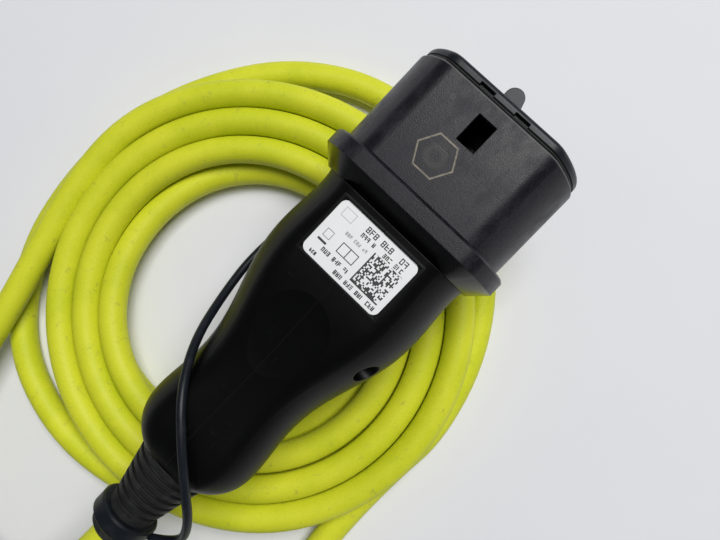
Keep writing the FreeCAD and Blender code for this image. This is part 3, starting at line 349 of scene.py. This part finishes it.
# %% Make finishes
class Finish:
    """A material with a Principled shader, and what its patterns need."""

    def __init__(self, name, colour, roughness, **constants):
        self.material = bpy.data.materials.new(name)
        self.material.use_nodes = True
        self.tree = self.material.node_tree
        self.shader = self.tree.nodes["Principled BSDF"]
        self.shader.inputs["Base Color"].default_value = (*colour, 1)
        self.shader.inputs["Roughness"].default_value = roughness
        for socket, value in constants.items():
            self.shader.inputs[socket.replace("_", " ")].default_value = value
        own = self.node("ShaderNodeTexCoord", output="Object")
        scale = {"operation": "SCALE"}
        self.place = self.node("ShaderNodeVectorMath", scale, {0: own, "Scale": 1 / MM})
        self.x, self.y, self.z = (
            self.node("ShaderNodeSeparateXYZ", inputs=[self.place], output=k) for k in range(3)
        )

    def node(self, kind, settings=None, inputs=(), output=0):
        """A node of that kind with its settings, then its sockets' values or links."""
        made = self.tree.nodes.new(kind)
        for name, value in (settings or {}).items():
            setattr(made, name, value)
        named = inputs if isinstance(inputs, dict) else dict(enumerate(inputs))
        for socket, value in named.items():
            if isinstance(value, Wire):
                self.tree.links.new(value.socket, made.inputs[socket])
            else:
                made.inputs[socket].default_value = value
        return Wire(self, made.outputs[output])

    def feed(self, name, wire):
        """The wire goes to that socket of the shader."""
        self.tree.links.new(wire.socket, self.shader.inputs[name])

    def noise(self, grain, detail=2.0, roughness=0.5, stretch=(1, 1, 1)):
        """Noise from 0 to 1 with grains of that many millimetres, longer where stretched."""
        scale = tuple(1 / (grain * times) for times in stretch)
        settings = {"operation": "MULTIPLY"}
        place = self.node("ShaderNodeVectorMath", settings, [self.place, scale])
        values = {"Vector": place, "Scale": 1.0, "Detail": detail, "Roughness": roughness}
        return self.node("ShaderNodeTexNoise", inputs=values)

    def mix(self, part, colour, other):
        """One colour where part is 0 and the other where it is 1."""
        ends = [c if isinstance(c, Wire) else (*c, 1) for c in (colour, other)]
        inputs = {0: part, 6: ends[0], 7: ends[1]}
        return self.node("ShaderNodeMix", {"data_type": "RGBA"}, inputs, output=2)

    def soft_edges(self, radius):
        """The surface's direction with its edges rounded by that many millimetres."""
        return self.node("ShaderNodeBevel", {"samples": 4}, {"Radius": radius * MM})

    def edges(self, soft, low, high):
        """1 on the edges that soft_edges has rounded, 0 elsewhere."""
        flat = self.node("ShaderNodeNewGeometry", output="Normal")
        settings = {"operation": "DOT_PRODUCT"}
        lean = self.node("ShaderNodeVectorMath", settings, [soft, flat], "Value")
        return (1 - lean).rise(low, high)

    def reach(self, middle):
        """The distance in millimetres from a point of the piece."""
        settings, ends = {"operation": "DISTANCE"}, [self.place, tuple(middle)]
        return self.node("ShaderNodeVectorMath", settings, ends, "Value")

    def relief(self, height, depth, strength=1.0, normal=None):
        """Height from 0 to 1 felt as that many millimetres of depth."""
        inputs = {"Height": height, "Distance": depth * MM, "Strength": strength}
        if normal:
            inputs["Normal"] = normal
        return self.node("ShaderNodeBump", inputs=inputs)


print("a finish can", [name for name in vars(Finish) if not name.startswith("_")])

# %% [markdown]
# ## The nose and the collar
# Both are moulded in black plastic whose mould was spark eroded: a fine grain that scatters
# light, so where a lamp stands over the flat top, it looks grey rather than black. Handling
# leaves faint bluish smears. The edges are painted a little lighter, partly wear and partly a
# painted highlight. The grain is noise a third of a millimetre across, felt by a bump, and the
# smears change both colour and roughness. The collar's bevel towards the handle is smooth and
# faces away from the lamp; its colour is painted nearly black as painted shade. On its rim is
# one pale nick.


# %% Grained plastic
def grained(name, colour, pale):
    """Grained dark plastic, smeared a little, its edges painted lighter: part wear, part
    painted highlight.
    """
    finish = Finish(name, colour, 0.42, Specular_IOR_Level=0.29)
    grain = finish.noise(0.36, 1.5)
    coarse = finish.noise(1.0, 2.0)
    smears = finish.noise(7.0, 4.0, 0.66, (1.5, 1, 1)).rise(0.42, 0.72)
    soft = finish.soft_edges(0.35)
    # Edges painted lighter: partly wear, partly painted highlight.
    wear_and_edge_highlight = finish.edges(soft, 0.02, 0.3) * coarse.rise(0.4, 0.62)
    speck = grain.rise(0.35, 0.75)
    tone = finish.mix(speck * 0.55 + smears * coarse * 0.9, colour, pale)
    finish.tone = finish.mix(wear_and_edge_highlight * 0.4, tone, (0.10, 0.10, 0.105))
    finish.rough = 0.36 + smears * 0.16 - speck * 0.06 + coarse * 0.06
    finish.feed("Roughness", finish.rough)
    finish.skin = finish.relief(grain * 0.7 + coarse * 0.3, 0.06, 0.9, soft)
    finish.feed("Normal", finish.skin)
    finish.feed("Base Color", finish.tone)
    return finish


PLASTIC, PALE_PLASTIC = (0.003, 0.003, 0.0045), (0.023, 0.0215, 0.030)
# Black for painted shade on the collar's bevel, the nose's end face and the cap's gap; it also
# draws the nose's witness line.
SHADE_AND_LINE_BLACK = (0.001, 0.001, 0.001)
collar_finish = grained("collar_plastic", PLASTIC, PALE_PLASTIC)
BEVEL_FROM = -36.0
NICK, NICK_SIZE = (-35.0, 22.0, 20.2), 0.9
NICK_TONE = (0.32, 0.32, 0.31)
# Painted shade: the bevel faces away from the lamp, so its colour goes nearly black. Its lower
# roughness is real.
bevel = 1 - collar_finish.x.rise(BEVEL_FROM - 0.3, BEVEL_FROM)
ragged = collar_finish.reach(NICK) + collar_finish.noise(0.5) * 1.2
nicked = 1 - ragged.rise(NICK_SIZE, NICK_SIZE + 0.6)
collar_bevel_shaded_tone = collar_finish.mix(bevel * 0.9, collar_finish.tone, SHADE_AND_LINE_BLACK)
collar_finish.feed("Base Color", collar_finish.mix(nicked * 0.8, collar_bevel_shaded_tone, NICK_TONE))
collar_finish.feed("Roughness", collar_finish.rough * (1 - bevel) + bevel * 0.2)
print("grained plastic nodes", len(collar_finish.tree.nodes))

# %% [markdown]
# On the nose's flat top are a thin printed hexagon, which says which kind of socket the plug
# fits, a witness line where two parts of the mould met and the round mark of a small ejector
# pin. A hexagon is the greatest of three distances from its middle, each across one pair of its
# sides; its outline is where that distance is just its size. The front edge carries a pale
# painted highlight, and the end face behind the cap's flange lies in the dark, so it is painted
# black as painted shade. All of them are layers of colour, laid one over the other.

# %% The nose's print and mould line
HEXAGON_MIDDLE = (-19.5, 4.0)
HEXAGON_SIZE, PRINT_WIDTH = 5.6, 0.17
RING_RADIUS = 2.6
FLAT_TOP = 24.0
WITNESS_LINE = -16.5
EJECTOR_MARK, EJECTOR_RADIUS = (-4.25, 11.9, 24.5), 0.6
LIT_EDGE_FROM, LIT_EDGE_TO = 1.3, 1.9
PRINT_TONE, RING_TONE = (0.36, 0.31, 0.23), (0.30, 0.27, 0.2)
EJECTOR_TONE, EDGE_HIGHLIGHT_TONE = (0.12, 0.12, 0.13), (0.14, 0.14, 0.14)

nose_finish = grained("nose_plastic", PLASTIC, PALE_PLASTIC)
across = nose_finish.x - HEXAGON_MIDDLE[0]
aside = nose_finish.y - HEXAGON_MIDDLE[1]
on_top = nose_finish.z > FLAT_TOP
far = abs(across)
for turn in (60, 120):
    c, s = math.cos(math.radians(turn)), math.sin(math.radians(turn))
    far = far.higher(abs(across * c + aside * s))
outline = (1 - abs(far - HEXAGON_SIZE).rise(PRINT_WIDTH, PRINT_WIDTH + 0.14)) * on_top
ring_reach = (across * across + aside * aside).root()
ring = (1 - abs(ring_reach - RING_RADIUS).rise(0.2, 1.4)) * on_top * 0.06
faded = 0.4 + nose_finish.noise(1.2, 2.0).rise(0.3, 0.7) * 0.25
parting = (1 - abs(nose_finish.x - WITNESS_LINE).rise(0.06, 0.2)) * on_top
pushed_out = 1 - abs(nose_finish.reach(EJECTOR_MARK) - EJECTOR_RADIUS).rise(0.1, 0.3)
# Painted highlight along the nose's front edge; painted shade on the end face behind it.
lit_edge = nose_finish.x.rise(LIT_EDGE_FROM, LIT_EDGE_FROM + 0.25)
lit_edge = lit_edge * (nose_finish.x < LIT_EDGE_TO)
end_face_shade = nose_finish.x.rise(LIT_EDGE_TO, LIT_EDGE_TO + 0.1)
nose_layers = [
    (outline * faded, PRINT_TONE),
    (ring, RING_TONE),
    (parting * 0.35, SHADE_AND_LINE_BLACK),
    (pushed_out * 0.2, EJECTOR_TONE),
    (lit_edge * 0.6, EDGE_HIGHLIGHT_TONE),
    (end_face_shade, SHADE_AND_LINE_BLACK),
]
printed = nose_finish.tone
for part, layer_tone in nose_layers:
    printed = nose_finish.mix(part, printed, layer_tone)
nose_finish.feed("Base Color", printed)
nose_finish.feed("Normal", nose_finish.relief(1 - parting, 0.03, 0.3, nose_finish.skin))
print("nose finish nodes", len(nose_finish.tree.nodes))

# %% [markdown]
# ## The handle
# The two halves of the handle are smooth satin black, so black that only what they mirror shows
# their form. They meet on the plug's middle plane in a fine line with a soft lip. Hands polish
# such a surface unevenly, so the roughness wanders, and a few hair-thin scratches catch the
# light. Its edges are painted paler as painted highlights.

# %% Satin plastic
DEEP_BLACK, JOINT_BLACK = (0.0012, 0.0012, 0.0014), (0.0005, 0.0005, 0.0005)
SCRATCHED, EDGE_HIGHLIGHT_GREY = (0.016, 0.016, 0.018), (0.035, 0.035, 0.038)
handle_finish = Finish("handle_plastic", DEEP_BLACK, 0.34, Specular_IOR_Level=0.14)
wander = handle_finish.noise(14.0, 3.0, 0.6)
fine = handle_finish.noise(0.5, 1.0)
lengthwise = handle_finish.noise(0.4, 2.0, 0.5, (22, 1.5, 9)).rise(0.7, 0.76)
crosswise = handle_finish.noise(0.4, 2.0, 0.5, (2, 18, 7)).rise(0.71, 0.77)
scratch = lengthwise.higher(crosswise)
handle_soft = handle_finish.soft_edges(0.4)
joint_line = 1 - abs(handle_finish.y).rise(0.04, 0.16)
shade = handle_finish.mix(scratch * 0.5 + wander * 0.04, DEEP_BLACK, SCRATCHED)
# Painted highlight: the handle's edges are painted paler.
edge_highlight = handle_finish.edges(handle_soft, 0.01, 0.2)
shade = handle_finish.mix(edge_highlight * 0.8, shade, EDGE_HIGHLIGHT_GREY)
handle_finish.feed("Base Color", handle_finish.mix(joint_line * 0.7, shade, JOINT_BLACK))
handle_finish.feed("Roughness", 0.32 + wander * 0.14 + joint_line * 0.2)
lip = handle_finish.relief(1 - joint_line, 0.08, 0.4, handle_soft)
handle_finish.feed("Normal", handle_finish.relief(fine, 0.01, 0.35, lip))
print("handle finish nodes", len(handle_finish.tree.nodes))

# %% [markdown]
# ## The rating label
# A silver-white film with rounded corners, printed in black by a thermal printer, sits in a
# shallow frame across the handle. The real one carries its maker's data. Here it is a plain
# stand-in: rows of figures made of chance strokes, a square of random cells and simple
# outlines, so it reads as a label from afar and says nothing. Chance comes from White Noise on
# whole numbers of a grid: it is the same each time the script runs.

# %% Label print
LABEL_MIDDLE_X = -54.2
LABEL_WIDE, LABEL_HIGH = 29.4, 19.2
STROKE, BLANK, UNDRAWN = 0.33, 0.06, 0.4
label_finish = Finish("label_film", (0.80, 0.80, 0.81), 0.32, Specular_IOR_Level=0.5)
along = LABEL_WIDE / 2 - label_finish.y
above = label_finish.x - (LABEL_MIDDLE_X - LABEL_HIGH / 2)


def inside(left, right, low, high):
    """1 within that rectangle of the label, in millimetres from its lower left corner."""
    return (along > left) * (along < right) * (above > low) * (above < high)


def by_chance(column, row, seed):
    """A random number from 0 to 1 for that place of a grid."""
    place = label_finish.node("ShaderNodeCombineXYZ", inputs=[column, row, seed])
    settings = {"noise_dimensions": "3D"}
    return label_finish.node("ShaderNodeTexWhiteNoise", settings, {"Vector": place})


def text_row(left, right, low, high, seed):
    """A row of words of three figures that mean nothing, each with some of five strokes."""
    step = (high - low) * 0.76
    thick, tall = STROKE / step, STROKE / (high - low)
    across_row = (along - left) / step
    figure = math.floor(across_row)
    u, v = across_row - figure, (above - low) / (high - low)
    chance = by_chance(figure, float(seed), 0.0)
    sides = [u < thick, (u > 0.8 - thick) * (u < 0.8)]
    strokes = [*sides, v > 1 - tall, abs(v - 0.5) < tall / 2, v < tall]
    shape = 0.0
    for k, stroke in enumerate(strokes):
        draw = chance.sum("FRACT", chance * (7.3 + 5.1 * k)) > UNDRAWN
        shape = (stroke * draw).higher(shape)
    in_word = figure.sum("FLOORED_MODULO", figure, 4.0) < 3
    seen = (chance > BLANK) * (u < 0.8) * in_word
    return shape * seen * inside(left, right, low, high)


def frame_line(left, right, low, high, width):
    """The outline of a rectangle."""
    hole = inside(left + width, right - width, low + width, high - width)
    return inside(left, right, low, high) * (1 - hole)


print("label", LABEL_WIDE, "x", LABEL_HIGH, "mm")

# %% [markdown]
# The print is laid out in millimetres from the label's lower left corner, as left, right, low
# and high. Five rows of figures stand in full black and one fainter. The square has cells of
# half a millimetre and, as such codes do, a solid line along two of its sides. Three plain
# boxes stand where the real label has its signs: one has a fold, one a bar under it and one is
# empty. Ink is the greatest of all these masks.

# %% Lay the print out
PRINT_ROWS = [
    (10.7, 26.6, 16.0, 17.9, 1),
    (10.6, 26.8, 14.0, 15.4, 2),
    (5.0, 15.0, 3.3, 4.7, 3),
    (12.0, 27.8, 0.9, 2.3, 4),
    (2.6, 5.4, 0.9, 2.0, 5),
]
FAINT_ROW = (7.0, 15.6, 11.4, 12.5, 6)
SQUARE, CELL = (16.9, 27.5, 3.0, 13.6), 10.6 / 22
SQUARE_SEED = 9.0
FOLDED_BOX, FOLD = (8.4, 14.6, 6.1, 9.6), (11.35, 11.65, 6.1, 9.6)
BARRED_BOX, BAR = (2.3, 4.9, 6.9, 9.6), (1.9, 5.1, 5.2, 5.9)
EMPTY_BOX = (2.2, 6.3, 14.6, 17.6)
FAR_PAST = 40
cell_chance = by_chance(math.floor(along / CELL), math.floor(above / CELL), SQUARE_SEED)
corner_less = inside(SQUARE[0] + CELL, FAR_PAST, SQUARE[2] + CELL, FAR_PAST)
marks = [
    *(text_row(*row) for row in PRINT_ROWS),
    (cell_chance > 0.5) * inside(*SQUARE),
    frame_line(*SQUARE, CELL) * (1 - corner_less),
    frame_line(*FOLDED_BOX, 0.28),
    inside(*FOLD),
    inside(*BAR),
    frame_line(*EMPTY_BOX, 0.16) * 0.6,
    frame_line(*BARRED_BOX, 0.2) * 0.8,
]
ink = text_row(*FAINT_ROW) * 0.55
for mark in marks:
    ink = ink.higher(mark)
print("label marks", len(marks) + 1)

# %% [markdown]
# The film under the ink is painted a little paler in broad patches as a painted sheen, and its
# roughness changes with them. It is not quite flat, for it is glued to a moulded seat. The ink
# is a little rougher than the film.

# %% Label film and ink
FILM, SHEEN_FILM, INK = (0.82, 0.825, 0.83), (0.88, 0.88, 0.88), (0.006, 0.006, 0.007)
# Painted sheen: broad paler patches on the film; the roughness change with them is real.
sheen = label_finish.noise(5.0, 2.0)
film = label_finish.mix(sheen, FILM, SHEEN_FILM)
label_finish.feed("Base Color", label_finish.mix(ink * 0.97, film, INK))
label_finish.feed("Roughness", 0.28 + ink * 0.2 + sheen * 0.06)
label_finish.feed("Normal", label_finish.relief(label_finish.noise(0.8, 1.0), 0.008, 0.4))
print("label finish nodes", len(label_finish.tree.nodes))

# %% [markdown]
# ## The cable's jacket
# Lime yellow polyurethane, extruded: smooth and nearly matt, slightly uneven along its length,
# with small dark smudges from lying on the ground. Two close colours and a fine fleck keep it
# from looking like paint, and both have hardly any blue, so its shadows stay olive instead of
# going grey.

# %% Lime yellow jacket
LIME = (0.71, 0.73, 0.032)
DEEP_LIME = (0.53, 0.60, 0.010)
SMUDGE = (0.26, 0.25, 0.07)
jacket_finish = Finish("cable_jacket", LIME, 0.5, Specular_IOR_Level=0.32)
patch = jacket_finish.noise(22.0, 3.0, 0.6)
grime = jacket_finish.noise(4.0, 4.0, 0.7).rise(0.58, 0.74)
fleck = jacket_finish.noise(0.7, 2.0).rise(0.35, 0.7)
skin = jacket_finish.mix(patch.rise(0.35, 0.7) * 0.5 + fleck * 0.25, LIME, DEEP_LIME)
jacket_finish.feed("Base Color", jacket_finish.mix(grime * 0.4, skin, SMUDGE))
jacket_finish.feed("Roughness", 0.5 + grime * 0.2 + patch * 0.06)
jacket_finish.feed("Normal", jacket_finish.relief(jacket_finish.noise(1.6, 2.0), 0.03, 0.5))
print("jacket finish nodes", len(jacket_finish.tree.nodes))

# %% [markdown]
# ## Rubber
# The end cap and its tether are a bluish black rubber with a dull gloss; the bend relief is the
# same kind of material with a duller skin. Dust stays on rubber as a faint grey bloom in
# patches. Where the cap's flange meets the nose there is a dark line, because hardly any light
# gets into that gap.


# %% Rubber finishes
def rubber(name, colour, roughness, bloom):
    """Dark rubber with a grey bloom."""
    finish = Finish(name, colour, roughness, Specular_IOR_Level=0.26)
    dust = finish.noise(5.0, 3.0, 0.6).rise(0.45, 0.75)
    fine_dust = finish.noise(0.35, 1.0)
    pale = tuple(part * 3 + 0.012 for part in colour)
    finish.tone = finish.mix(dust * bloom + fine_dust * 0.15, colour, pale)
    finish.rough = roughness + dust * 0.12
    finish.feed("Base Color", finish.tone)
    finish.feed("Roughness", finish.rough)
    finish.feed("Normal", finish.relief(fine_dust, 0.02, 0.5, finish.soft_edges(0.4)))
    return finish


cap_finish = rubber("cap_rubber", (0.005, 0.007, 0.010), 0.36, 0.2)
GAP_FROM, GAP_TO = 2.0, 3.4
in_gap = 1 - cap_finish.x.rise(GAP_TO - 0.15, GAP_TO)
in_gap = in_gap * (cap_finish.x > GAP_FROM)
cap_finish.feed("Base Color", cap_finish.mix(in_gap, cap_finish.tone, SHADE_AND_LINE_BLACK))
cap_finish.feed("Roughness", cap_finish.rough * (1 - in_gap) + in_gap)
relief_finish = rubber("relief_rubber", (0.012, 0.012, 0.012), 0.5, 0.4)
seal_finish = rubber("seal_rubber", (0.02, 0.02, 0.021), 0.45, 0.2)
print("dark line on the cap from", GAP_FROM, "to", GAP_TO, "mm")

# %% [markdown]
# ## Contacts, screws and what lies inside
# The pins are silver-plated brass, a warm white metal with turning marks round them, and each
# has a tip of dark plastic, so that a finger touches nothing live. The tips' grey is painted
# paler than that plastic, as painted light inside the lock window. The screws are steel with a
# black coat, hard to see at the bottom of their holes. The carrier that holds the pins is a
# grey-black glass-filled plastic. Of the insulated cores the earth is green and the neutral
# blue.


# %% Metal finishes
def metal(name, colour, roughness, grain, stretch):
    """Bare metal with fine marks."""
    finish = Finish(name, colour, roughness, Metallic=1.0)
    marks = finish.noise(grain, 2.0, 0.6, stretch)
    dull = finish.noise(2.5, 3.0).rise(0.4, 0.7)
    darker = tuple(part * 0.72 for part in colour)
    finish.tone = finish.mix(dull * 0.5, colour, darker)
    finish.feed("Base Color", finish.tone)
    finish.feed("Roughness", roughness + marks * 0.12 + dull * 0.1)
    finish.feed("Normal", finish.relief(marks, 0.01, 0.5, finish.soft_edges(0.2)))
    return finish


# The tips' grey is painted paler than their dark plastic: painted light inside the lock window.
SILVER, TIP_PLASTIC_PAINTED_LIT, TIP_FROM = (0.72, 0.69, 0.62), (0.13, 0.13, 0.135), -9.5
contact_finish = metal("contact_silver", SILVER, 0.28, 0.25, (0.3, 6, 6))
tip = contact_finish.x > TIP_FROM
contact_finish.feed("Base Color", contact_finish.mix(tip, contact_finish.tone, TIP_PLASTIC_PAINTED_LIT))
contact_finish.feed("Metallic", 1 - tip)
screw_finish = metal("screw_black", (0.035, 0.035, 0.038), 0.42, 0.3, (1, 1, 3))
print("contacts are silver up to x", TIP_FROM, "mm")

# %% [markdown]
# Inside the handle the cores keep to their own side all the way, so the angle about the plug's
# axis is enough to tell which is earth and which is neutral. The coding resistor has bands
# round its body: noise that is stretched so far across that it only changes along it.

# %% Inner finishes
CORE_BLACK = (0.03, 0.03, 0.032)
EARTH_GREEN, NEUTRAL_BLUE = (0.20, 0.42, 0.03), (0.03, 0.10, 0.42)
EARTH_SIDE, NEUTRAL_SIDE = (-2.0, -1.2), (-0.2, 0.9)
BODY, BAND = (0.45, 0.30, 0.16), (0.16, 0.03, 0.02)
insulator_finish = grained("insulator_plastic", (0.02, 0.02, 0.021), (0.06, 0.06, 0.062))
resistor_finish = Finish("resistor_body", BODY, 0.35)
bands = resistor_finish.noise(1.1, 0.0, 0.5, (1, 40, 40))
resistor_finish.feed("Base Color", resistor_finish.mix(bands.rise(0.48, 0.52), BODY, BAND))
core_finish = Finish("core_insulation", (0.02, 0.02, 0.022), 0.4)
core_side = core_finish.z.sum("ARCTAN2", core_finish.z, core_finish.y)
earth = (core_side > EARTH_SIDE[0]) * (core_side < EARTH_SIDE[1])
neutral = (core_side > NEUTRAL_SIDE[0]) * (core_side < NEUTRAL_SIDE[1])
core_tone = core_finish.mix(earth, CORE_BLACK, EARTH_GREEN)
core_finish.feed("Base Color", core_finish.mix(neutral, core_tone, NEUTRAL_BLUE))
core_finish.feed("Roughness", 0.36 + core_finish.noise(2.0) * 0.1)
print("core finish nodes", len(core_finish.tree.nodes))

# %% [markdown]
# ## Which piece gets which finish
# The record names one finish for each piece, and the table below turns those names into
# materials. Only the nose differs from the collar, because it alone carries the print.

# %% Hand the finishes out
FINISHES = {
    "nose_plastic": collar_finish,
    "handle_plastic": handle_finish,
    "insulator": insulator_finish,
    "contact_metal": contact_finish,
    "label": label_finish,
    "screw_steel": screw_finish,
    "relief_rubber": relief_finish,
    "cable_jacket": jacket_finish,
    "core_insulation": core_finish,
    "resistor": resistor_finish,
    "cap_rubber": cap_finish,
    "seal_rubber": seal_finish,
}


def cover(piece, finish):
    """The piece wears that finish alone."""
    piece.data.materials.clear()
    piece.data.materials.append(finish.material)


for part in frame["record"]["subparts"]:
    cover(nodes[part["node"]], FINISHES[part["material_slot"]])
cover(nodes["nose_shell"], nose_finish)
cover(cable, jacket_finish)
cover(tether, cap_finish)
print("covered", len(nodes) + 2, "pieces with", len(FINISHES) + 1, "finishes")

# %% [markdown]
# ## Floor
# The coil lies on a plain, pale, dull surface. It is large enough that no edge of it comes into
# the picture, and a broad cloud in its colour keeps it from looking like paper. It belongs to
# the stage and not to the part.

# %% Floor
FLOOR = cad_low[2]
FLOOR_HALF = 3.0
floor_mesh = bpy.data.meshes.new("floor")
corners = [(-1, -1), (1, -1), (1, 1), (-1, 1)]
corners = [(x * FLOOR_HALF, y * FLOOR_HALF, FLOOR) for x, y in corners]
floor_mesh.from_pydata(corners, [], [(0, 1, 2, 3)])
floor = add("floor", floor_mesh)
floor_finish = Finish("floor_paint", (0.80, 0.80, 0.82), 0.8, Specular_IOR_Level=0.2)
cloud = floor_finish.noise(60.0, 3.0)
floor_finish.feed("Base Color", floor_finish.mix(cloud, (0.79, 0.79, 0.82), (0.82, 0.82, 0.84)))
cover(floor, floor_finish)
print("floor at", round(FLOOR, 4), "m")

# %% [markdown]
# ## Light
# One large soft lamp hangs above the plug and a little ahead of its nose, so the shadows fall
# short and soft towards its tail, and a dim, even sky fills them. A sheet of light this size
# gives the soft long highlights that satin plastic shows.

# %% Lights
LIGHT_AIM = Vector((-0.07, 0.0, -0.03))
LIGHT_WAY = Vector((0.5, -0.02, 1.0)).normalized()
LIGHT_DISTANCE, LIGHT_SIDE, LIGHT_POWER = 2.4, 1.2, 53
SKY_COLOUR, SKY_STRENGTH = (0.9, 0.95, 1.0, 1), 0.14

sheet = bpy.data.lights.new("ceiling_light", "AREA")
sheet.shape = "SQUARE"
sheet.size = LIGHT_SIDE
sheet.energy = LIGHT_POWER
lamp = add("ceiling_light", sheet)
lamp.location = LIGHT_AIM + LIGHT_WAY * LIGHT_DISTANCE
lamp.rotation_euler = LIGHT_WAY.to_track_quat("Z", "Y").to_euler()
world = bpy.data.worlds.new("even_sky")
world.use_nodes = True
sky = world.node_tree.nodes["Background"]
sky.inputs["Color"].default_value = SKY_COLOUR
sky.inputs["Strength"].default_value = SKY_STRENGTH
bpy.context.scene.world = world
bpy.context.scene.view_settings.view_transform = "Standard"
print("lamp", LIGHT_POWER, "W, sky", SKY_STRENGTH)

# %% [markdown]
